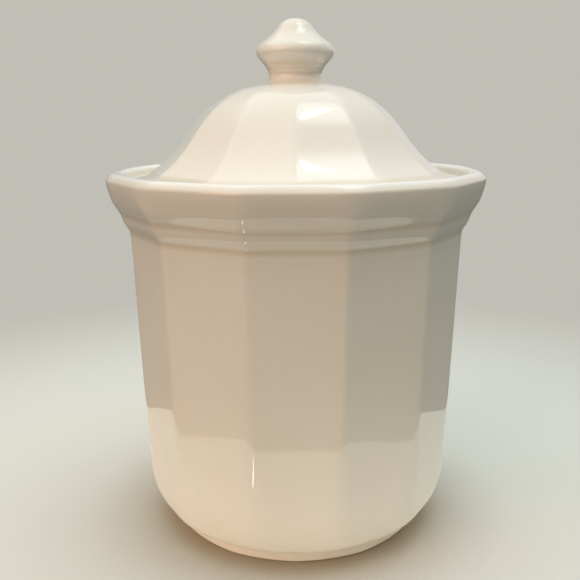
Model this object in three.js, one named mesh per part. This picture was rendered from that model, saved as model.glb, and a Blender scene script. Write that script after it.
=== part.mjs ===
import * as THREE from 'three';

// A twelve-sided glazed stoneware kitchen canister: a jar with a belly, a banded flaring rim and a foot
// ring, a bell-shaped lid with a finial knob, and a soft seal in the groove of the lid's skirt.
// Millimetres, +Z up, the table at height zero, the jar's axis through the origin.
//
// Every piece is turned about that axis. Each station of an outline is a Vector3 that holds
// x: the radius to the middle of a flat side, y: the height, z: how soft the twelve corners are there,
// as a share of the radius, from nearly 0 for crisp corners to 1 for a plain circle.

const facets = 12;
const halfFacet = Math.PI / facets;
const stepsPerFacet = 4;
const roundShare = 1;

// Clearance between pieces that rest on or hug one another
const seatGap = 0.3;

// Jar: foot ring and recessed underside
const footRadius = 63.1;
const footHeight = 7;
const footWidth = 5.6;
const footRecess = 4;
const footEdge = 1;
const footSoftShare = 0.9;

// Jar: belly, a stretch of an ellipse that starts over the foot and overhangs it
const bellyOverhang = 3.4;
const bellyHeight = 30;
const bellyRadius = 76.1;
const bellyFootDegrees = -75;
const bellyFootSoftShare = 0.7;
const bellySoftShare = 0.26;

// Jar: tall wall and the hollow inside
const wallTopHeight = 152.9;
const wallTopRadius = 80.4;
const wallFadeHeight = 66;
const wallFadeSoftShare = 0.1;
const wallSoftShare = 0.075;
const wallThickness = 6;
const floorThickness = 7;
const insideFilletWidth = 12;
const insideFilletHeight = 22;
const insideSoftShare = 0.5;

// Jar: two bands under the rim, each with an underside that slants out
const lowerBandSlant = 4.7;
const lowerBandReach = 3.1;
const lowerBandFace = 4.4;
const lowerBandLean = 1.4;
const lowerBandSoftShare = 0.12;
const upperBandSlant = 5.7;
const upperBandReach = 3.6;
const upperBandSoftShare = 0.14;
const bandEase = 0.7;

// Jar: flaring lip, which turns in at a crisp edge and rounds over its crest
const lipFace = 10.5;
const lipFlare = 3.2;
const lipFaceShare = 0.55;
const lipFlareShare = 0.74;
const lipCrown = 3.3;
const lipCrestInset = 3.8;
const lipRoundWidth = 2.4;
const lipRoundHeight = 2.6;
const lipSoftShare = 0.3;
const lipInnerSoftShare = 0.9;
const lipOuterDegrees = 50;
const lipInnerDegrees = 150;

// Jar: the round seat for the lid, a ledge at the foot of a cove, and the throat below it
const seatDepth = 7.5;
const seatClearance = 1;
const coveSoftShare = 1;
const coveReachShare = 0.55;
const coveRiseShare = 0.3;
const throatWall = 5.4;
const throatDepth = 16;
const throatEdge = 1.2;

// Lid: flange, and the skirt that keeps the lid in place
const flangeLap = 5.7;
const flangeThickness = 4.3;
const flangeRound = 1.5;
const flangeFall = 0.7;
const flangeShelf = 7.4;
const skirtDepth = 13.8;
const skirtThickness = 5;
const skirtRound = 1.5;

// Lid: dome, twelve-sided from the crease at its base and round where it meets the neck
const domeBaseStep = 0.9;
const domeRise = 42.4;
const domeWall = 5.5;
const domeBaseSoftShare = 0.11;
const domeInsideSoftShare = 0.5;

// Dome outline, from the base up: share of the way in to the neck, share of the rise, softness
const domeShares = [
  [0.089, 0.083, 0.09],
  [0.198, 0.208, 0.085],
  [0.309, 0.38, 0.09],
  [0.42, 0.575, 0.1],
  [0.557, 0.755, 0.17],
  [0.717, 0.894, 0.5],
  [0.886, 0.972, 0.9],
];

// Lid: finial knob, hollow inside as a slip-cast knob is
const neckBaseRadius = 18;
const neckRadius = 12.7;
const neckHeight = 5;
const knobRadius = 19.3;
const knobHeight = 31.4;
const knobWall = 6.2;
const knobCoreShare = 0.72;
const knobRidgeShare = 0.49;
const coreShoulderShare = 0.5;
const coreMouthShare = 1.4;

// Knob outline above the neck: share of the ridge's radius, share of the knob's height
const knobShares = [
  [0.75, 0.28],
  [0.925, 0.395],
  [1, knobRidgeShare],
  [0.95, 0.578],
  [0.84, 0.637],
  [0.705, 0.698],
  [0.593, 0.755],
  [0.505, 0.815],
  [0.43, 0.876],
  [0.33, 0.94],
  [0.17, 0.985],
];

// Seal: a soft band in the skirt's groove, with two fins that reach for the throat
const sealHeight = 6.6;
const sealBand = 1.4;
const sealGroove = 1;
const sealDrop = 4;
const finLength = 2.4;
const finRoot = 1.5;
const finTip = 0.8;
const finShares = [0.25, 0.75];

// Number of steps along the curved stretches
const bellySteps = 8;
const filletSteps = 6;
const lipSteps = 4;
const rollSteps = 5;
const coveSteps = 4;
const edgeSteps = 3;
const domeSteps = 16;
const domeInsideSteps = 8;
const neckSteps = 4;
const knobSteps = 20;

// Finish
const glazeColour = 0xebe3d0;
const glazeRoughness = 0.12;
const sealColour = 0xe6e2d8;
const sealRoughness = 0.6;

// Sizes that follow from the ones above
const bandCreaseHeight = wallTopHeight + lowerBandSlant + lowerBandFace;
const lipFootHeight = bandCreaseHeight + upperBandSlant;
const lipFootRadius = wallTopRadius + lowerBandReach + lowerBandLean + upperBandReach;
const lipHeight = lipFootHeight + lipFace;
const lipRadius = lipFootRadius + lipFlare;
const rimHeight = lipHeight + lipCrown;
const seatHeight = rimHeight - seatDepth;
const throatRadius = wallTopRadius - throatWall;
const flangeRadius = throatRadius + flangeLap;
const lidHeight = seatHeight + seatGap;
const flangeTop = lidHeight + flangeThickness;
const domeBaseRadius = (flangeRadius - flangeShelf) * Math.cos(halfFacet);
const domeBaseHeight = flangeTop + flangeFall + domeBaseStep;
const domeTopHeight = domeBaseHeight + domeRise;
const sealTop = lidHeight - sealDrop;
const sealFoot = sealTop - sealHeight;
const grooveRadius = throatRadius - seatGap - finLength - sealBand - seatGap;
const skirtRadius = grooveRadius + sealGroove;

const station = (radius, height, softShare) => new THREE.Vector3(radius, height, softShare);

// A smooth curve through stations, as points that leave out its first station
function smooth(stations, steps) {
  const curve = new THREE.CatmullRomCurve3(stations, false, 'centripetal');
  return curve.getPoints(steps).slice(1);
}

// Two stations in place of a sharp corner of an outline, each as far from it as the ease
function eased(before, corner, after, ease) {
  const towards = (other) => corner.clone().lerp(other, ease / corner.distanceTo(other));
  return [towards(before), towards(after)];
}

// A stretch of an ellipse; angles in degrees, 0 pointing outward and 90 up
function arc(centre, across, up, fromDegrees, toDegrees, steps, toSoftShare = centre.z) {
  const stations = [];
  for (let step = 0; step <= steps; step += 1) {
    const progress = step / steps;
    const angle = THREE.MathUtils.degToRad(THREE.MathUtils.lerp(fromDegrees, toDegrees, progress));
    const softShare = THREE.MathUtils.lerp(centre.z, toSoftShare, progress);
    stations.push(station(centre.x + across * Math.cos(angle), centre.y + up * Math.sin(angle), softShare));
  }
  return stations;
}

// One corner of the twelve-sided outline: the angle beside it where its rounding ends, and the outline's
// distance from the axis at an angle beside it
function roundedCorner(radius, softShare) {
  const rounding = radius * softShare;
  const centre = (radius - rounding) / Math.cos(halfFacet);
  const end = Math.atan2(rounding * Math.sin(halfFacet), centre + rounding * Math.cos(halfFacet));
  const distance = (angle) => {
    if (angle >= end) return radius / Math.cos(halfFacet - angle);
    const across = centre * Math.sin(angle);
    return centre * Math.cos(angle) + Math.sqrt(rounding * rounding - across * across);
  };
  return { end, distance };
}

// Turns an outline into a closed solid with twelve flat sides. Four steps make a side: one stands on each
// corner, one where the rounding beside it ends and one on the middle of the flat.
function facetedSolid(outline, turn) {
  const profile = outline.map((one) => new THREE.Vector2(one.x, one.y));
  const geometry = new THREE.LatheGeometry(profile, facets * stepsPerFacet);
  const position = geometry.attributes.position;
  for (let index = 0; index < position.count; index += 1) {
    const { x: radius, y: height, z: softShare } = outline[index % outline.length];
    const step = Math.floor(index / outline.length);
    const nearestCorner = Math.round(step / stepsPerFacet);
    const offset = step - nearestCorner * stepsPerFacet;
    const { end, distance } = roundedCorner(radius, softShare);
    const besideCorner = [0, Math.min(end, halfFacet / 2), halfFacet][Math.abs(offset)];
    const angle = nearestCorner * halfFacet * 2 + Math.sign(offset) * besideCorner;
    const length = radius > 0 ? distance(besideCorner) : 0;
    position.setXYZ(index, length * Math.sin(angle), height, length * Math.cos(angle));
  }
  return upright(geometry).rotateZ(turn);
}

// Stands a turned geometry up along +Z
function upright(geometry) {
  geometry.deleteAttribute('uv');
  geometry.rotateX(Math.PI / 2);
  geometry.computeVertexNormals();
  return geometry;
}

// From the axis across the recessed underside and round the foot ring
function footOutline() {
  const inner = footRadius - footWidth;
  return [
    station(0, footRecess, roundShare),
    station(inner - footRecess / 2, footRecess, roundShare),
    station(inner, footRecess / 2, roundShare),
    station(inner + footEdge / 2, 0, roundShare),
    station(footRadius - footEdge, 0, footSoftShare),
    station(footRadius, footEdge, footSoftShare),
    station(footRadius - footEdge / 2, footHeight - footEdge, footSoftShare),
  ];
}

// Belly and tall wall, up to the crease below the bands
function wallOutline() {
  const footAngle = THREE.MathUtils.degToRad(bellyFootDegrees);
  const across = (bellyRadius - footRadius - bellyOverhang) / (1 - Math.cos(footAngle));
  const up = (footHeight - bellyHeight) / Math.sin(footAngle);
  const centre = station(bellyRadius - across, bellyHeight, bellyFootSoftShare);
  const wallAt = (height, softShare) => station(
    THREE.MathUtils.mapLinear(height, bellyHeight, wallTopHeight, bellyRadius, wallTopRadius),
    height,
    softShare,
  );
  return [
    ...arc(centre, across, up, bellyFootDegrees, 0, bellySteps, bellySoftShare),
    wallAt(wallFadeHeight, wallFadeSoftShare),
    wallAt((wallFadeHeight + wallTopHeight) / 2, wallSoftShare),
    wallAt(wallTopHeight - bandEase, wallSoftShare),
  ];
}

// The two bands and the flaring face of the lip
function bandOutline() {
  const wall = station(bellyRadius, bellyHeight, wallSoftShare);
  const foot = station(wallTopRadius, wallTopHeight, wallSoftShare);
  const edge = station(foot.x + lowerBandReach, foot.y + lowerBandSlant, lowerBandSoftShare);
  const crease = station(edge.x + lowerBandLean, bandCreaseHeight, lowerBandSoftShare);
  const lipFoot = station(lipFootRadius, lipFootHeight, upperBandSoftShare);
  const lipMiddle = station(
    lipFootRadius + lipFlare * lipFlareShare,
    lipFootHeight + lipFace * lipFaceShare,
    lipSoftShare,
  );
  const lip = station(lipRadius, lipHeight, lipSoftShare);
  return [
    ...eased(wall, foot, edge, bandEase).slice(1),
    ...eased(foot, edge, crease, bandEase),
    ...eased(edge, crease, lipFoot, bandEase),
    ...eased(crease, lipFoot, lipMiddle, bandEase),
    ...smooth([lipFoot, lipMiddle, lip], lipSteps).slice(1),
  ];
}

// Rolled lip, the cove down to the ledge that carries the lid, and the round throat under it
function seatOutline() {
  const centre = station(lipRadius - lipCrestInset, rimHeight - lipRoundHeight, lipSoftShare);
  const roll = arc(
    centre,
    lipRoundWidth,
    lipRoundHeight,
    lipOuterDegrees,
    lipInnerDegrees,
    rollSteps,
    lipInnerSoftShare,
  );
  const inner = roll[roll.length - 1];
  const ledge = station(flangeRadius + seatClearance, seatHeight, roundShare);
  const bend = station(
    THREE.MathUtils.lerp(ledge.x, inner.x, coveReachShare),
    THREE.MathUtils.lerp(ledge.y, inner.y, coveRiseShare),
    coveSoftShare,
  );
  return [
    ...roll,
    ...smooth([inner, bend, ledge], coveSteps),
    station(throatRadius + throatEdge, seatHeight, roundShare),
    station(throatRadius, seatHeight - throatEdge, roundShare),
    station(throatRadius, seatHeight - throatDepth, roundShare),
  ];
}

// Inner wall and floor, back to the axis
function insideOutline() {
  const top = wallTopRadius - wallThickness;
  const low = bellyRadius - wallThickness;
  const floor = footRecess + floorThickness;
  const centre = station(low - insideFilletWidth, floor + insideFilletHeight, insideSoftShare);
  return [
    station((top + low) / 2, (wallTopHeight + centre.y) / 2, insideSoftShare),
    ...arc(centre, insideFilletWidth, insideFilletHeight, 0, -90, filletSteps, roundShare),
    station(0, floor, roundShare),
  ];
}

// The jar stands with a flat side to the front
function jarGeometry() {
  const outline = [
    ...footOutline(),
    ...wallOutline(),
    ...bandOutline(),
    ...seatOutline(),
    ...insideOutline(),
  ];
  return facetedSolid(outline, halfFacet);
}

// Outside of the dome, from the crease at its base up to the neck
function domeOutline() {
  const between = domeShares.map(([inShare, riseShare, softShare]) => station(
    THREE.MathUtils.lerp(domeBaseRadius, neckBaseRadius, inShare),
    domeBaseHeight + domeRise * riseShare,
    softShare,
  ));
  return [
    station(domeBaseRadius, domeBaseHeight, domeBaseSoftShare),
    ...between,
    station(neckBaseRadius, domeTopHeight, roundShare),
  ];
}

// The dome's inner face, downward: points of the outside set in by the wall, square to the outline
function domeInsideOutline() {
  const curve = new THREE.CatmullRomCurve3(domeOutline().reverse(), false, 'centripetal');
  const inside = [];
  for (let step = 1; step < domeInsideSteps; step += 1) {
    const point = curve.getPoint(step / domeInsideSteps);
    const along = curve.getTangent(step / domeInsideSteps);
    const inward = new THREE.Vector2(along.y, -along.x).normalize().multiplyScalar(domeWall);
    const softShare = Math.max(domeInsideSoftShare, point.z);
    inside.push(station(point.x + inward.x, point.y + inward.y, softShare));
  }
  return inside;
}

// Knob, from the hollow curve at the foot of its neck to the tip on the axis
function knobOutline() {
  const above = knobShares.map(([radiusShare, heightShare]) => station(
    knobRadius * radiusShare,
    domeTopHeight + knobHeight * heightShare,
    roundShare,
  ));
  const centre = station(neckBaseRadius, domeTopHeight + neckHeight, roundShare);
  const spread = neckBaseRadius - neckRadius;
  const neck = arc(centre, spread, neckHeight, 270, 180, neckSteps);
  const top = station(0, domeTopHeight + knobHeight, roundShare);
  return [...neck.slice(1), ...smooth([neck[neckSteps], ...above, top], knobSteps)];
}

// Hollow of the knob, from its closed end on the axis down through the neck
function coreOutline() {
  const neck = neckRadius - knobWall;
  const widest = (knobRadius - knobWall) * knobCoreShare;
  const ridge = domeTopHeight + knobHeight * knobRidgeShare;
  return [
    station(0, ridge + knobWall, roundShare),
    station(widest * coreShoulderShare, ridge + knobWall, roundShare),
    station(widest, ridge, roundShare),
    station(neck, domeTopHeight + neckHeight, roundShare),
    station(neck, domeTopHeight, roundShare),
    station(neck * coreMouthShare, domeTopHeight - domeWall, roundShare),
  ];
}

// Skirt below the flange, down its inner face and up its outer one, with the seal's groove
function skirtOutline() {
  const bottom = lidHeight - skirtDepth;
  const inside = skirtRadius - skirtThickness;
  return [
    station(inside, lidHeight, roundShare),
    station(inside, bottom + skirtRound, roundShare),
    station(inside + skirtRound, bottom, roundShare),
    station(skirtRadius - skirtRound, bottom, roundShare),
    station(skirtRadius, bottom + skirtRound, roundShare),
    station(skirtRadius, sealFoot - seatGap, roundShare),
    station(grooveRadius, sealFoot - seatGap, roundShare),
    station(grooveRadius, sealTop + seatGap, roundShare),
    station(skirtRadius, sealTop + seatGap, roundShare),
    station(skirtRadius, lidHeight, roundShare),
  ];
}

// Flange, from its flat underside over the rounded edge to the foot of the dome
function flangeOutline() {
  const low = station(flangeRadius - flangeRound, lidHeight + flangeRound, roundShare);
  const high = station(flangeRadius - flangeRound, flangeTop - flangeRound, roundShare);
  return [
    ...arc(low, flangeRound, flangeRound, -90, 0, edgeSteps),
    ...arc(high, flangeRound, flangeRound, 0, 90, edgeSteps),
    station(flangeRadius - flangeShelf + domeBaseStep, flangeTop + flangeFall, roundShare),
  ];
}

// The lid stands turned by half a side against the jar, which its round seat allows
function lidGeometry() {
  const dome = domeOutline();
  const outline = [
    ...coreOutline(),
    ...domeInsideOutline(),
    ...skirtOutline(),
    ...flangeOutline(),
    dome[0],
    ...smooth(dome, domeSteps),
    ...knobOutline(),
  ];
  return facetedSolid(outline, 0);
}

// Seal: a closed ring section with a straight inner face and two tapered fins
function sealGeometry() {
  const inner = grooveRadius + seatGap;
  const band = inner + sealBand;
  const tip = band + finLength;
  const point = (radius, height) => new THREE.Vector2(radius, height);
  const fins = finShares.flatMap((share) => {
    const height = sealFoot + sealHeight * share;
    return [
      point(band, height - finRoot / 2),
      point(tip, height - finTip / 2),
      point(tip, height + finTip / 2),
      point(band, height + finRoot / 2),
    ];
  });
  const section = [
    point(inner, sealFoot),
    point(band, sealFoot),
    ...fins,
    point(band, sealTop),
    point(inner, sealTop),
    point(inner, sealFoot),
  ];
  return upright(new THREE.LatheGeometry(section, facets * stepsPerFacet));
}

function piece(name, geometry, colour, roughness) {
  const material = new THREE.MeshStandardMaterial({ color: colour, roughness, metalness: 0 });
  const mesh = new THREE.Mesh(geometry, material);
  mesh.name = name;
  return mesh;
}

const canister = new THREE.Group();
canister.add(piece('canister_jar', jarGeometry(), glazeColour, glazeRoughness));
canister.add(piece('canister_lid', lidGeometry(), glazeColour, glazeRoughness));
canister.add(piece('lid_seal', sealGeometry(), sealColour, sealRoughness));

export default canister;
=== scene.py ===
# %% [markdown]
# # A glazed stoneware canister
#
# This lesson dresses a kitchen canister for its portrait. The real one comes apart into three pieces: a
# twelve-sided jar on a round foot, a bell-shaped lid with a knob, and a soft seal in a groove under the
# lid. The CAD model holds their sizes and their joints. What is made here is the look: smooth skins with
# softened corners in place of the faceted solids, a glossy cream glaze that is deeper in colour along the
# creases, bare clay under the foot, and the light of a small studio. Some light and shade is painted as
# well: a paler crest on the rim, a paler cream on the lid, a shadow and a glowing patch on the floor.
#
# Every length is in metres, and a size given in millimetres is multiplied by `mm`.

import math

import bmesh
import bpy
from mathutils import Matrix, Vector


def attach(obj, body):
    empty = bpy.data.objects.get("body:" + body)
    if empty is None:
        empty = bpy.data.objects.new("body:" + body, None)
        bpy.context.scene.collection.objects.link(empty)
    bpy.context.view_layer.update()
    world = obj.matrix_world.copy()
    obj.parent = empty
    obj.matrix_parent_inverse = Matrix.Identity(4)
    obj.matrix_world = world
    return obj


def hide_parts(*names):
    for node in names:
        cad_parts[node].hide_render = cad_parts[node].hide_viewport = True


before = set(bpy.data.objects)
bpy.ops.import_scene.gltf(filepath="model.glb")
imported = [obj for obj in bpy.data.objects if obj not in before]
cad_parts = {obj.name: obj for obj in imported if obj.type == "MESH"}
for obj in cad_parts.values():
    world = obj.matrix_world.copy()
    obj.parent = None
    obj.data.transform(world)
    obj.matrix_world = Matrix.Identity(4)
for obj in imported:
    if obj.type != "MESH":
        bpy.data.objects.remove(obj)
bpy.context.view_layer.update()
mm = 0.001
print("nodes:", sorted(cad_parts))

# %% [markdown]
# ## The camera
#
# The camera comes first, because it says what will show. It stands close to the canister, just below the
# height of the knob, and looks slightly down. From so close the near rim looks wider than the base, so
# the distance matters as much as the focal length. Both were found by fitting a camera to the jar's
# regular outline. The place is given, and three turns aim it: down, a little to the left, and a
# slight lean of the horizon.

# %% Set up the camera
camera_place = Vector((0, -0.4016, 0.2094))
focal_length = 49.03
look_down = math.radians(12.68)
look_left = math.radians(0.45)
lean = math.radians(-0.31)

camera_data = bpy.data.cameras.new("portrait_camera")
camera_data.sensor_width = 36
camera_data.lens = focal_length
camera_data.clip_start = 10 * mm
camera = bpy.data.objects.new("portrait_camera", camera_data)
bpy.context.scene.collection.objects.link(camera)
camera.matrix_world = (
    Matrix.Translation(camera_place)
    @ Matrix.Rotation(look_left, 4, "Z")
    @ Matrix.Rotation(math.pi / 2 - look_down, 4, "X")
    @ Matrix.Rotation(lean, 4, "Z")
)
bpy.context.scene.camera = camera
print("camera stands", round(camera_place.length, 3), "m from the foot of the jar")

# %% [markdown]
# ## Shader values that can be written as sums
#
# A material's maths can be drawn as a web of Math nodes, but a sum is easier to read as a sum. This small
# class wraps one socket. Python's operators on it add the Math nodes, and `make` adds any other node from
# its type, its settings and what its sockets get. The distance between two points is asked for so often
# that it has a method too.

# %% A socket with operators
class Value:
    def __init__(self, tree, socket=None):
        self.tree = tree
        self.socket = socket

    def make(self, kind, settings=None, inputs=None, output=0):
        """Adds a node and returns one of its outputs; inputs are plain or other Values."""
        node = self.tree.nodes.new(kind)
        for name, setting in (settings or {}).items():
            setattr(node, name, setting)
        for name, given in (inputs or {}).items():
            if isinstance(given, Value):
                self.tree.links.new(given.socket, node.inputs[name])
            else:
                node.inputs[name].default_value = given
        return Value(self.tree, node.outputs[output])

    def math(self, operation, first, second=0):
        return self.make("ShaderNodeMath", {"operation": operation}, {0: first, 1: second})

    def __add__(self, other):
        return self.math("ADD", self, other)

    def __radd__(self, other):
        return self.math("ADD", other, self)

    def __sub__(self, other):
        return self.math("SUBTRACT", self, other)

    def __rsub__(self, other):
        return self.math("SUBTRACT", other, self)

    def __mul__(self, other):
        return self.math("MULTIPLY", self, other)

    def __rmul__(self, other):
        return self.math("MULTIPLY", other, self)

    def __abs__(self):
        return self.math("ABSOLUTE", self)

    def distance(self, point):
        """How far this vector lies from a fixed point."""
        return self.make(
            "ShaderNodeVectorMath", {"operation": "DISTANCE"}, {0: self, 1: point}, output=1
        )

    def step(self, low, high):
        """0 below low, 1 above high and a smooth rise between; swapped ends turn it round."""
        return self.make(
            "ShaderNodeMapRange",
            {"interpolation_type": "SMOOTHSTEP"},
            {"Value": self, "From Min": low, "From Max": high},
        )

    def blend(self, start, end):
        """A colour from start, where this value is 0, to end, where it is 1."""
        return self.make(
            "ShaderNodeMix",
            {"data_type": "RGBA", "clamp_factor": True},
            {0: self, 6: start, 7: end},
            output=2,
        )

    def choose(self, first, second):
        """One shader, where this value is 0, and another, where it is 1."""
        return self.make("ShaderNodeMixShader", {}, {0: self, 1: first, 2: second})


def new_material(name):
    """An empty material, and the Value that adds nodes to it."""
    material = bpy.data.materials.new(name)
    material.use_nodes = True
    material.node_tree.nodes.clear()
    return material, Value(material.node_tree)


def send_out(values, shader, kind="ShaderNodeOutputMaterial"):
    """Sends a shader to the output of its material, or to one of another kind."""
    output = values.tree.nodes.new(kind)
    values.tree.links.new(shader.socket, output.inputs["Surface"])


print("Value can do:", [name for name in vars(Value) if not name.startswith("_")])

# %% [markdown]
# ## The studio
#
# Glaze is a mirror laid over clay, so the studio is half of the finish. The canister stands on a small
# pale table in a dimmer room: the lower jar mirrors the table, and above a wavy edge it mirrors the room
# beyond. One floor plays both parts. The camera sees it as a plain pale sweep. Every ray that only lights
# or mirrors sees the table alone, and the room lies open below it.

# %% The floor
floor_radius = 4
floor_corners = 96
table_centre = (-3 * mm, 7 * mm, 0)

bpy.ops.object.select_all(action="DESELECT")
bpy.ops.mesh.primitive_circle_add(vertices=floor_corners, radius=floor_radius, fill_type="NGON")
floor = bpy.context.object
floor.name = "studio_floor"
floor_material, values = new_material("pale_floor")
place = values.make("ShaderNodeTexCoord", output=3)
out = place.distance(table_centre)
print("floor", floor_radius * 2, "m wide")

# %% [markdown]
# The sweep is a plain matt floor that fades, further out, into the colour of the backdrop. Close to the
# foot the jar keeps the light of the room away. Ambient occlusion measures that: it is 1 in the open and
# falls where something stands near, and there a painted shadow turns the floor a deeper, warmer colour,
# over the shadow that the light itself casts.

# %% The floor as the camera sees it
floor_colour = (0.74, 0.73, 0.68, 1)
painted_shadow_colour = (0.42, 0.36, 0.28, 1)
contact_reach = 70 * mm
contact_closed = 0.3
contact_free = 0.95
occlusion_samples = 8
backdrop_colour = (0.53, 0.52, 0.47, 1)
haze_start = 0.17
haze_end = 0.52


def matt(values, colour):
    return values.make("ShaderNodeBsdfDiffuse", {}, {"Color": colour})


openness = values.make(
    "ShaderNodeAmbientOcclusion", {"samples": occlusion_samples}, {"Distance": contact_reach}, 1
)
# Painted shadow: where the floor is closed in, it takes the darker painted shadow colour.
shaded_floor = openness.step(contact_closed, contact_free).choose(
    matt(values, painted_shadow_colour), matt(values, floor_colour)
)
haze = values.make("ShaderNodeEmission", {}, {"Color": backdrop_colour})
shown = out.step(haze_start, haze_end).choose(shaded_floor, haze)
print("the floor fades out from", haze_start, "to", haze_end, "m")

# %% [markdown]
# The table that lights the jar and shows in its glaze ends at its edge. Past that, rays go on into the
# room. A slim glowing patch, which is no lamp, lies on the table at the front left. Only mirrored rays
# meet it, so it lights nothing: it is a painted highlight, which the lower corner of the jar shows as one
# upright streak. The patch is a long ellipse, made from a circle: its distance is measured after the place
# has been squashed along Y.

# %% The table as the glaze mirrors it
table_colour = (0.86, 0.83, 0.76, 1)
table_radius = 200 * mm
table_edge = 3 * mm
streak_squash = Vector((1, 0.12, 1))
streak_centre = Vector((-57 * mm, -160 * mm, 0))
streak_radius = 2 * mm
streak_edge = 1 * mm
streak_strength = 10
white = (1, 1, 1, 1)

past_edge = out.step(table_radius, table_radius + table_edge)
opening = values.make("ShaderNodeBsdfTransparent")
squashed = values.make(
    "ShaderNodeVectorMath", {"operation": "MULTIPLY"}, {0: place, 1: streak_squash}
)
inside = squashed.distance(streak_centre * streak_squash).step(
    streak_radius + streak_edge, streak_radius
)
mirrored = values.make("ShaderNodeLightPath", output=3)
# Painted highlight: a glow that is no lamp, seen only by mirrored rays.
painted_highlight_glow = values.make("ShaderNodeEmission", {}, {"Color": white, "Strength": streak_strength})
table = past_edge.choose(matt(values, table_colour), opening)
lit = (mirrored * inside).choose(table, painted_highlight_glow)
seen = values.make("ShaderNodeLightPath", output=0)
send_out(values, seen.choose(lit, shown))
floor.data.materials.append(floor_material)
print("pale table", table_radius * 2, "m wide")

# %% [markdown]
# The world is the room around the table: a dim floor below, four walls that run into one another, and a
# bright ceiling, brightest round its lamp. A colour also says how bright its part of the room is. The
# front left is brighter than the front right, so the jar's flat sides differ from one another.

# %% The colours of the room
room = {
    "below": (0.12, 0.145, 0.14, 1),
    "front_left": (0.82, 0.85, 0.8, 1),
    "front_right": (0.31, 0.27, 0.23, 1),
    "back_left": (0.23, 0.29, 0.28, 1),
    "back_right": (0.83, 0.76, 0.73, 1),
    "ceiling": (1.09, 1.22, 1.2, 1),
    "overhead": (2.4, 2.65, 2.65, 1),
}
print("parts of the room:", list(room))

# %% [markdown]
# What a ray meets in the room depends on its direction alone: how far it points to the right, away from
# the camera, and up. A smooth step along each of these runs the parts into one another. Near the lamp's
# direction the ceiling turns brighter. Only the camera sees a plain backdrop in place of the room.

# %% The world
lamp_direction = Vector((0.27, 0.06, 0.96)).normalized()
lamp_glow_start = 0.955
lamp_glow_full = 0.995
wall_blend = 0.7
ceiling_start = 0.55
ceiling_full = 0.8
horizon_blur = 0.04

world = bpy.data.worlds.new("studio")
world.use_nodes = True
world.node_tree.nodes.clear()
values = Value(world.node_tree)
direction = values.make("ShaderNodeTexCoord", output=0)
across, away, height = (
    values.make("ShaderNodeSeparateXYZ", {}, {0: direction}, output=axis) for axis in range(3)
)
side = across.step(-wall_blend, wall_blend)
front = side.blend(room["front_left"], room["front_right"])
rear = side.blend(room["back_left"], room["back_right"])
walls = away.step(-wall_blend, wall_blend).blend(front, rear)
towards_lamp = values.make(
    "ShaderNodeVectorMath", {"operation": "DOT_PRODUCT"}, {0: direction, 1: lamp_direction}, output=1
)
lamp_glow = towards_lamp.step(lamp_glow_start, lamp_glow_full)
ceiling = lamp_glow.blend(room["ceiling"], room["overhead"])
upper = height.step(ceiling_start, ceiling_full).blend(walls, ceiling)
glow = height.step(-horizon_blur, horizon_blur).blend(room["below"], upper)
light = values.make("ShaderNodeBackground", {}, {"Color": glow})
backdrop = values.make("ShaderNodeBackground", {}, {"Color": backdrop_colour})
seen = values.make("ShaderNodeLightPath", output=0)
send_out(values, seen.choose(light, backdrop), "ShaderNodeOutputWorld")
bpy.context.scene.world = world
print("the room is joined from", len(world.node_tree.nodes), "nodes")

# %% [markdown]
# Three lamps finish the room. A slim one hangs overhead, a little to the right: the lid's hollow curve
# mirrors it twice, as two short bars. A tiny bright one beside it puts the sparks on the knob and the
# rim. A wide one behind the camera on the left warms that side.

# %% The lamps
def lamp(name, place, aim, size, strength, colour):
    """A soft rectangular lamp that shines from place towards aim, as bright to look at as strength."""
    data = bpy.data.lights.new(name, "AREA")
    data.shape = "RECTANGLE"
    data.size, data.size_y = size
    data.energy = strength * math.pi * size[0] * size[1]
    data.color = colour
    lamp_object = bpy.data.objects.new(name, data)
    bpy.context.scene.collection.objects.link(lamp_object)
    place, aim = Vector(place), Vector(aim)
    turn = (place - aim).to_track_quat("Z", "Y")
    lamp_object.matrix_world = Matrix.Translation(place) @ turn.to_matrix().to_4x4()


lid_heart = (0, 0, 0.19)
lamps = {
    "overhead_lamp": {
        "place": (0.3, -0.01, 1.25),
        "size": (0.24, 0.05),
        "strength": 2.6,
        "colour": (0.85, 0.97, 1),
    },
    "spark_lamp": {
        "place": (0.2, -0.01, 1.26),
        "size": (0.03, 0.02),
        "strength": 45,
        "colour": (1, 0.98, 0.95),
    },
    "wide_lamp": {
        "place": (-1, -1, 0.75),
        "size": (1.1, 1.1),
        "strength": 1.68,
        "colour": (1, 0.37, 0.1),
    },
}
for name, settings in lamps.items():
    lamp(name, aim=lid_heart, **settings)
print("lamps:", list(lamps))

# %% [markdown]
# ## Rings from the CAD piece
#
# Jar and lid are both turned shapes with twelve flat sides, whose corners are crisp on the wall and melt
# away towards the foot, the flange and the neck. A potter makes such a piece in a mould. In Blender it
# can be made as a stack of rings that are bridged one to the next. Where the rings go is measured on the
# CAD piece, so that the skin fits it. The walk below follows one column of its vertices along the outline
# and notes each one's radius and height, and how soft the corner beside it is: 0 for a crisp corner, and
# 1 for a plain circle.

# %% Measure the outline of a CAD piece
sides = 12
side_angle = 2 * math.pi / sides
crisp_reach = 1 / math.cos(side_angle / 2)
on_axis = 0.01 * mm
same_point = 0.001 * mm
column_slack = side_angle / 200


def column_of(shape, angle):
    """The vertices of a turned shape at one angle about the axis, in order along its outline."""
    def belongs(vertex):
        gap = math.atan2(vertex.co.y, vertex.co.x) - angle
        beside = abs(math.remainder(gap, 2 * math.pi)) < column_slack
        return beside or vertex.co.xy.length < on_axis

    column = {vertex for vertex in shape.verts if belongs(vertex)}
    walk = [min(column, key=lambda vertex: (round(vertex.co.xy.length / mm), vertex.co.z))]
    while True:
        beside = [edge.other_vert(walk[-1]) for edge in walk[-1].link_edges]
        ahead = [vertex for vertex in beside if vertex in column and vertex not in walk]
        if not ahead:
            return walk
        walk.append(ahead[0])


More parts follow.
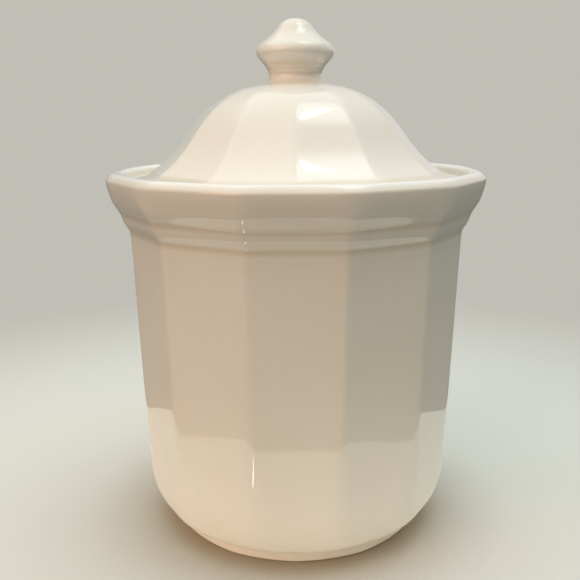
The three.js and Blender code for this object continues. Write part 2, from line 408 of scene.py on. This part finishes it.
def outline_of(node, side_middle):
    """Stations of a CAD piece: radius to the middle of a side, height, and softness of the corner."""
    shape = bmesh.new()
    shape.from_mesh(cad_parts[node].data)
    bmesh.ops.remove_doubles(shape, verts=shape.verts, dist=same_point)
    middles = column_of(shape, side_middle)
    corners = column_of(shape, side_middle + side_angle / 2)
    stations = []
    for middle, corner in zip(middles, corners):
        radius = middle.co.xy.length
        reach = corner.co.xy.length / radius if radius > on_axis else 1
        stations.append((radius, middle.co.z, (crisp_reach - reach) / (crisp_reach - 1)))
    shape.free()
    return stations


jar_middle = -math.pi / 2
lid_middle = jar_middle + side_angle / 2
jar_outline = outline_of("canister_jar", jar_middle)
lid_outline = outline_of("canister_lid", lid_middle)
seal_outline = outline_of("lid_seal", lid_middle)
print("stations:", len(jar_outline), "on the jar,", len(lid_outline), "on the lid,",
      len(seal_outline), "on the seal")

# %% [markdown]
# Smoothing a mesh pulls its corners in, the more so the further off the next ring is. Two more rings
# close beside a sharp corner hold it, so that it is rounded no more than glaze rounds it. Towards the
# axis, smaller rings on a shallow crown keep the last faces small. A ring that would be tiny is left out.

# %% Add the rings that hold corners and close the ends
hold = 1.1 * mm
room_to_hold = 2.5 * hold
sharp_turn = math.radians(28)
crown_shares = (0.55, 0.2)
least_ring = 2.5 * mm


def part_way(start, end, share):
    return tuple(one + (other - one) * share for one, other in zip(start, end))


def way(start, end):
    """The way from one station to another, along the radius and upwards."""
    return Vector((end[0] - start[0], end[1] - start[1]))


def held(stations, closed):
    """Adds a station on both sides of each sharp corner, where there is room for it."""
    count = len(stations)
    result = []
    for number, here in enumerate(stations):
        if not closed and number in (0, count - 1):
            result.append(here)
            continue
        before, after = stations[number - 1], stations[(number + 1) % count]
        arriving, leaving = way(before, here), way(here, after)
        sharp = arriving.angle(leaving) > sharp_turn
        if sharp and arriving.length > room_to_hold:
            result.append(part_way(here, before, hold / arriving.length))
        result.append(here)
        if sharp and leaving.length > room_to_hold:
            result.append(part_way(here, after, hold / leaving.length))
    return result


def crown(ring, pole):
    """Stations between a ring and the axis, on a shallow round crown that ends at the pole."""
    return [
        (ring[0] * share, pole[1] + (ring[1] - pole[1]) * share * share, 1)
        for share in crown_shares
        if ring[0] * share > least_ring
    ]


def ring_stations(outline):
    """The rings of a piece that reaches the axis at both ends."""
    middle = held(outline, closed=False)[1:-1]
    first, last = crown(middle[0], outline[0]), crown(middle[-1], outline[-1])
    return first[::-1] + middle + last


jar_rings = ring_stations(jar_outline)
lid_rings = ring_stations(lid_outline)
seal_rings = held(seal_outline, closed=True)
print("rings:", len(jar_rings), "on the jar,", len(lid_rings), "on the lid,",
      len(seal_rings), "on the seal")

# %% [markdown]
# ## The stack of rings
#
# Each ring starts as a circle of twelve points, one on each corner. Bevelling the points rounds the
# corners by the measured softness, and subdividing the flat sides gives them points of their own, so that
# every ring has the same number. A ring that is quite round starts as a circle with that many points.
# Bridging joins each ring to the one before.

# %% Helpers for modelling in edit mode
corner_steps = 3
side_cuts = 2
corner_points = sides * (corner_steps + 1)
ring_points = corner_points + sides * side_cuts
round_enough = 0.95
middle_slack = side_angle / 50


def open_new_piece(name):
    """Starts a piece at the origin with an empty mesh, and opens it in edit mode."""
    bpy.ops.object.select_all(action="DESELECT")
    bpy.ops.mesh.primitive_circle_add(vertices=sides)
    bpy.context.object.name = name
    bpy.ops.object.mode_set(mode="EDIT")
    bpy.ops.mesh.select_all(action="SELECT")
    bpy.ops.mesh.delete(type="VERT")
    return bpy.context.object


def open_mesh(piece):
    """The edit mesh of a piece, with nothing selected."""
    bpy.ops.mesh.select_all(action="DESELECT")
    shape = bmesh.from_edit_mesh(piece.data)
    shape.verts.ensure_lookup_table()
    return shape


def add_ring(piece, radius, height, softness, turn):
    """Adds one ring, its corners at the given turn, to the end of the mesh."""
    quite_round = softness > round_enough
    bpy.ops.mesh.primitive_circle_add(
        vertices=ring_points if quite_round else sides,
        radius=radius if quite_round else radius * crisp_reach,
        location=(0, 0, height),
        rotation=(0, 0, turn + math.pi / ring_points if quite_round else turn),
    )
    if quite_round:
        return
    cut = radius * softness * math.tan(side_angle / 2)
    bpy.ops.mesh.bevel(affect="VERTICES", offset=cut, segments=corner_steps)
    shape = open_mesh(piece)
    for vertex in shape.verts[-corner_points:]:
        for edge in vertex.link_edges:
            middle = (edge.verts[0].co + edge.verts[1].co) / 2
            gap = math.atan2(middle.y, middle.x) - turn - side_angle / 2
            edge.select_set(abs(math.remainder(gap, side_angle)) < middle_slack)
    bmesh.update_edit_mesh(piece.data)
    bpy.ops.mesh.subdivide(number_cuts=side_cuts)


def select_rings(piece, *numbers):
    """Selects rings by their number; they lie in order in the mesh."""
    shape = open_mesh(piece)
    for number in numbers:
        for vertex in shape.verts[number * ring_points:(number + 1) * ring_points]:
            vertex.select_set(True)
    shape.select_flush_mode()
    bmesh.update_edit_mesh(piece.data)


print("a ring has", ring_points, "points")

# %% [markdown]
# A stack that reaches the axis is closed with a fan of faces at both ends: the last ring is extruded, and
# the new one merged to a point. The seal never reaches the axis, so its last ring is bridged to its first.
# Two rings in one plane, as on a flat ledge, would be bridged the wrong way round, straight across the
# opening. So one of them is raised while they are bridged, and lowered again.

# %% Build a skin from its rings
same_height = 0.01 * mm
bridge_rise = 5 * mm


def close_end(piece, number):
    """Fills one ring with a fan of faces that meet on the axis."""
    select_rings(piece, number)
    bpy.ops.mesh.extrude_edges_move()
    bpy.ops.mesh.merge(type="CENTER")


def raise_ring(piece, number, rise):
    """Moves one ring straight up, or down for a negative rise."""
    select_rings(piece, number)
    bpy.ops.transform.translate(value=(0, 0, rise))


def bridge_rings(piece, rings, first, second):
    """Joins two rings with faces, the second one raised meanwhile if both lie in one plane."""
    level = abs(rings[first][1] - rings[second][1]) < same_height
    if level:
        raise_ring(piece, second, bridge_rise)
    select_rings(piece, first, second)
    bpy.ops.mesh.bridge_edge_loops()
    if level:
        raise_ring(piece, second, -bridge_rise)


def stack_rings(name, rings, turn, reaches_axis):
    """A closed skin through every ring, which ends on the axis or else joins up."""
    piece = open_new_piece(name)
    for number, (radius, height, softness) in enumerate(rings):
        add_ring(piece, radius, height, softness, turn)
        if number > 0:
            bridge_rings(piece, rings, number - 1, number)
    if reaches_axis:
        close_end(piece, 0)
        close_end(piece, len(rings) - 1)
    else:
        bridge_rings(piece, rings, len(rings) - 1, 0)
    bpy.ops.mesh.select_all(action="SELECT")
    bpy.ops.mesh.normals_make_consistent(inside=False)
    bpy.ops.object.mode_set(mode="OBJECT")
    print(name, "has", len(piece.data.vertices), "points before smoothing")
    return piece


def smooth(piece, levels):
    """Applies a subdivision surface and smooth shading."""
    modifier = piece.modifiers.new("smooth", "SUBSURF")
    modifier.levels = modifier.render_levels = levels
    bpy.ops.object.select_all(action="DESELECT")
    piece.select_set(True)
    bpy.context.view_layer.objects.active = piece
    bpy.ops.object.modifier_apply(modifier=modifier.name)
    bpy.ops.object.shade_smooth()
    print(piece.name, "has", len(piece.data.polygons), "faces")


# %% [markdown]
# Jar and lid both reach the axis at their two ends: the jar in the middle of its underside and of its
# inner bottom, the lid in the middle of its hollow and at the tip of the knob. Two rounds of smoothing
# leave no straight edge on the rim or the knob, even in a close view.

# %% Build the jar and the lid
jar_corner = jar_middle + side_angle / 2
lid_corner = lid_middle + side_angle / 2
glazed_jar = stack_rings("glazed_jar", jar_rings, jar_corner, reaches_axis=True)
glazed_lid = stack_rings("glazed_lid", lid_rings, lid_corner, reaches_axis=True)
smooth(glazed_jar, levels=2)
smooth(glazed_lid, levels=2)

# %% [markdown]
# ## The seal
#
# The seal is moulded in soft silicone. It sits in a groove round the lid's skirt and grips the jar's
# throat with two thin fins. It hides when the lid is on, and shows when the lid is lifted off.

# %% Build the seal
soft_seal = stack_rings("soft_seal", seal_rings, lid_middle, reaches_axis=False)
smooth(soft_seal, levels=1)

# %% [markdown]
# ## Clay
#
# Glaze would melt fast to the shelf of the kiln, so it is wiped off the faces that stand on the shelf:
# the jar's foot ring, and the lower edge of the lid's skirt. The bare clay there is matt and sandy. Noise
# gives the sand: soft, cloudy values, whose clouds are smaller for a larger scale. They tint the clay and
# raise small bumps on it.

# %% Bare clay
clay_colour = (0.6, 0.5, 0.38)
dark_sand = (0.85, 0.82, 0.8)
light_sand = (1.1, 1.1, 1.1)
sand_scale = 2500
sand_range = (0.3, 0.75)
sand_strength = 0.6
sand_depth = 0.1 * mm
clay_roughness = 0.85


def shade(colour, shares):
    """A colour with a share of each of its three channels."""
    return tuple(channel * share for channel, share in zip(colour, shares)) + (1,)


def noise(values, place, scale, detail):
    return values.make(
        "ShaderNodeTexNoise", {}, {"Vector": place, "Scale": scale, "Detail": detail}
    )


def bumps(values, height, strength, depth):
    return values.make(
        "ShaderNodeBump", {}, {"Height": height, "Strength": strength, "Distance": depth}
    )


def bare_clay(values, place):
    """Fired clay without glaze."""
    sand = noise(values, place, sand_scale, detail=2)
    colour = sand.step(*sand_range).blend(
        shade(clay_colour, dark_sand), shade(clay_colour, light_sand)
    )
    return values.make(
        "ShaderNodeBsdfPrincipled",
        {},
        {
            "Base Color": colour,
            "Roughness": clay_roughness,
            "Normal": bumps(values, sand, sand_strength, sand_depth),
        },
    )


print("sand of about", round(1 / sand_scale / mm, 1), "mm")

# %% [markdown]
# ## Glaze
#
# The glaze is a layer of milky glass over pale clay, and its colour is deeper along the creases. The
# creases are the places where the measured outline turns hollow on its way up the outside.

# %% Find the creases
crease_turn = math.radians(6)
jar_outside = 60 * mm
lid_outside = 10 * mm


def creases_of(outline, outside):
    """Heights at which the outline turns hollow, where it climbs and lies further out than outside."""
    heights = []
    for before, here, after in zip(outline, outline[1:], outline[2:]):
        arriving, leaving = way(before, here), way(here, after)
        climbs_outside = here[0] > outside and leaving.y > 0
        if climbs_outside and arriving.angle_signed(leaving) > crease_turn:
            heights.append(here[1])
    return heights


jar_creases = creases_of(jar_outline, jar_outside)
lid_creases = creases_of(lid_outline, lid_outside)
print("creases on the jar at", [round(one / mm, 1) for one in jar_creases])
print("creases on the lid at", [round(one / mm, 1) for one in lid_creases])

# %% [markdown]
# The cream colour drifts a little in wide clouds, and smaller flecks lie faintly over them. Each crease
# adds its own soft line of the deeper colour.

# %% The colour of the glaze
cloud_scale = 16
cloud_range = (0.35, 0.65)
dull_cloud = (0.985, 0.975, 0.96)
clear_cloud = (1.01, 1.01, 1.01)
fleck_shade = (0.975, 0.965, 0.94)
fleck_share = 0.35
deeper_crease_tone = (0.9, 0.86, 0.78)
crease_tone_share = 0.8
crease_reach = 1.6 * mm
crease_core = 0.2 * mm


def drifting_cream(values, place, flecks, cream):
    """A cream colour with its clouds and flecks."""
    clouds = noise(values, place, cloud_scale, detail=3).step(*cloud_range)
    drift = clouds.blend(shade(cream, dull_cloud), shade(cream, clear_cloud))
    return (flecks * fleck_share).blend(drift, shade(cream, fleck_shade))


def near_creases(height, creases):
    """1 at the height of a crease, and 0 away from them all."""
    return sum(abs(height - crease).step(crease_reach, crease_core) for crease in creases)


print("a crease is", 2 * crease_reach / mm, "mm wide")

# %% [markdown]
# The surface is almost smooth, and it bends light strongly, so it mirrors the room clearly. It swells in
# wide, shallow waves that let the mirrored edges waver, with smaller waves and a trace of fine ones on
# them. Over the crest of the rim the jar is painted palest: a painted highlight for the light that falls
# on it from above. The lid has no such edge.

# %% The glaze
jar_cream = (0.87, 0.81, 0.7)
# Painted light: the lid has the jar's glaze, but its cream is painted paler, for the brighter light on the
# lid from above.
lid_cream_painted_paler = (0.92, 0.88, 0.8)
painted_crest_highlight = (0.97, 0.95, 0.91, 1)
painted_highlight_fade = 2 * mm
bare_fade = 0.15 * mm
fleck_scale = 220
fleck_range = (0.35, 0.7)
shares_of_waves = {24: 0.25, 90: 0.03, 900: 0.002}
wave_depth = 1 * mm
glaze_index = 1.8
least_roughness = 0.04
fleck_roughness = 0.02


def wavy_skin(values, place):
    """The waves of the glaze: noise of three scales, each with its share of the depth."""
    waves = sum(
        noise(values, place, scale, detail=1) * share for scale, share in shares_of_waves.items()
    )
    return bumps(values, waves, strength=1, depth=wave_depth)


def glaze(name, cream, creases, bare_below, highlight_painted_above):
    """Cream glaze, deeper at the creases, with a painted highlight above one height; bare clay below the
    other.
    """
    material, values = new_material(name)
    place = values.make("ShaderNodeTexCoord", output=3)
    height = values.make("ShaderNodeSeparateXYZ", {}, {0: place}, output=2)
    flecks = noise(values, place, fleck_scale, detail=2).step(*fleck_range)
    even = drifting_cream(values, place, flecks, cream)
    at_creases = near_creases(height, creases) * crease_tone_share
    deepened = at_creases.blend(even, shade(cream, deeper_crease_tone))
    # Painted highlight: above this height the colour turns paler.
    brightened = height.step(highlight_painted_above, highlight_painted_above + painted_highlight_fade)
    glazed = values.make(
        "ShaderNodeBsdfPrincipled",
        {},
        {
            "Base Color": brightened.blend(deepened, painted_crest_highlight),
            "Roughness": flecks * fleck_roughness + least_roughness,
            "IOR": glaze_index,
            "Normal": wavy_skin(values, place),
        },
    )
    bare = height.step(bare_below, bare_below - bare_fade)
    send_out(values, bare.choose(glazed, bare_clay(values, place)))
    return material


def lowest(outline):
    return min(height for _, height, _ in outline)


bare_rise = 0.45 * mm
highlight_rise = 0.8 * mm
jar_bare = lowest(jar_outline) + bare_rise
lid_bare = lowest(lid_outline) + bare_rise
# The painted highlight starts just above the crest of the rim; on the lid it starts above the tip of the
# knob, so none shows there.
jar_highlight_from = max(jar_outline)[1] + highlight_rise
over_the_lid = lid_outline[-1][1] + mm
glazed_jar.data.materials.append(
    glaze("jar_cream_glaze", jar_cream, jar_creases, jar_bare, jar_highlight_from)
)
glazed_lid.data.materials.append(
    glaze("lid_cream_glaze", lid_cream_painted_paler, lid_creases, lid_bare, over_the_lid)
)
# The paler colour above the crest is a painted highlight.
print("bare clay below", round(jar_bare / mm, 2), "mm on the jar and", round(lid_bare / mm, 2),
      "mm on the lid, thin glaze above", round(jar_highlight_from / mm, 1), "mm on the jar")

# %% [markdown]
# ## Silicone
#
# Silicone is milky and dull, and light goes a little way into it. Handling leaves it slightly cloudy in
# colour and gloss, and fine dust lies on it.

# %% The silicone
dull_silicone = (0.8, 0.785, 0.74, 1)
clear_silicone = (0.86, 0.85, 0.81, 1)
milk_scale = 60
milk_range = (0.3, 0.7)
least_silicone_roughness = 0.4
milk_roughness = 0.15
dust_scale = 1800
dust_depth = 0.04 * mm
light_depth = 2 * mm

silicone, values = new_material("milky_silicone")
place = values.make("ShaderNodeTexCoord", output=3)
milk = noise(values, place, milk_scale, detail=3).step(*milk_range)
dust = noise(values, place, dust_scale, detail=1)
silicone_shader = values.make(
    "ShaderNodeBsdfPrincipled",
    {},
    {
        "Base Color": milk.blend(dull_silicone, clear_silicone),
        "Roughness": milk * milk_roughness + least_silicone_roughness,
        "Subsurface Weight": 0.25,
        "Subsurface Scale": light_depth,
        "Normal": bumps(values, dust, strength=0.3, depth=dust_depth),
    },
)
send_out(values, silicone_shader)
soft_seal.data.materials.append(silicone)
print(silicone.name, "on", soft_seal.name)

# %% [markdown]
# ## Bodies
#
# Each skin rides on the body of the CAD piece that it stands for, so the lid lifts and turns with its
# knob and seal in place.

# %% Set the pieces on their bodies
for piece, body, node, slot in (
    (glazed_jar, "jar", "canister_jar", "jar_glaze"),
    (glazed_lid, "lid", "canister_lid", "lid_glaze"),
    (soft_seal, "seal", "lid_seal", "seal_silicone"),
):
    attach(piece, body)
    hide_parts(node)
    print(piece.name, "rides on", body)

# %% [markdown]
# ## Finish
#
# The colours are shown as they are, through the standard view transform.

# %% Finish
bpy.context.scene.view_settings.view_transform = "Standard"
